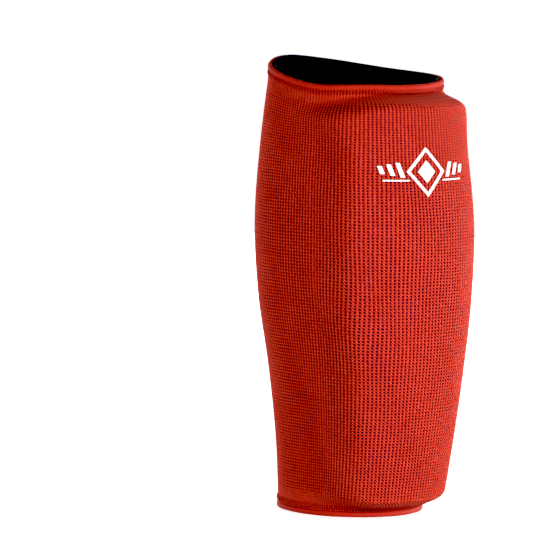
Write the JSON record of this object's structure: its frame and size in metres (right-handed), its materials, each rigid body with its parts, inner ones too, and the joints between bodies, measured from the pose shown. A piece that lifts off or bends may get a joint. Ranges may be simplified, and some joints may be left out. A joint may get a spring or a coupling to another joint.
{
  "type": "forearm guard",
  "caption": "Slip-on red elasticated knit forearm guard with a foam pad in a sewn front pocket, a black lining and rolled hems.",
  "frame": {"origin": "centre of the footprint box at the wrist rim, on the surface the guard stands on", "axes": "+Z along the forearm from the wrist rim to the elbow rim, -Y is the padded front, symmetric about X = 0 apart from the waves of the elbow rim and a rounder upper corner of the pad on the -X side"},
  "size_m": [0.1172, 0.1179, 0.2518],
  "materials": {
    "red_knit": "open elasticated rib knit, matt with a soft sheen",
    "red_hem": "rolled fine rib knit, matt",
    "black_knit": "fine black knit lining, matt",
    "red_thread": "twisted sewing thread, slight sheen",
    "navy_thread": "twisted sewing thread, slight sheen",
    "dark_foam": "closed-cell foam, matt",
    "white_elastic": "covered elastic cord, matt",
    "white_print": "thick white screen print"
  },
  "bodies": {
    "root": {"outer_sleeve": "red_knit", "inner_lining": "black_knit", "impact_pad": "dark_foam", "top_hem": "red_hem", "bottom_hem": "red_hem", "top_elastic": "white_elastic", "bottom_elastic": "white_elastic", "top_hem_stitch": "red_thread", "bottom_hem_stitch": "red_thread", "left_pocket_seam": "red_thread", "right_pocket_seam": "red_thread", "top_thread_tail": "navy_thread", "bottom_thread_tail": "navy_thread", "front_emblem": "white_print"}
  },
  "joints": []
}
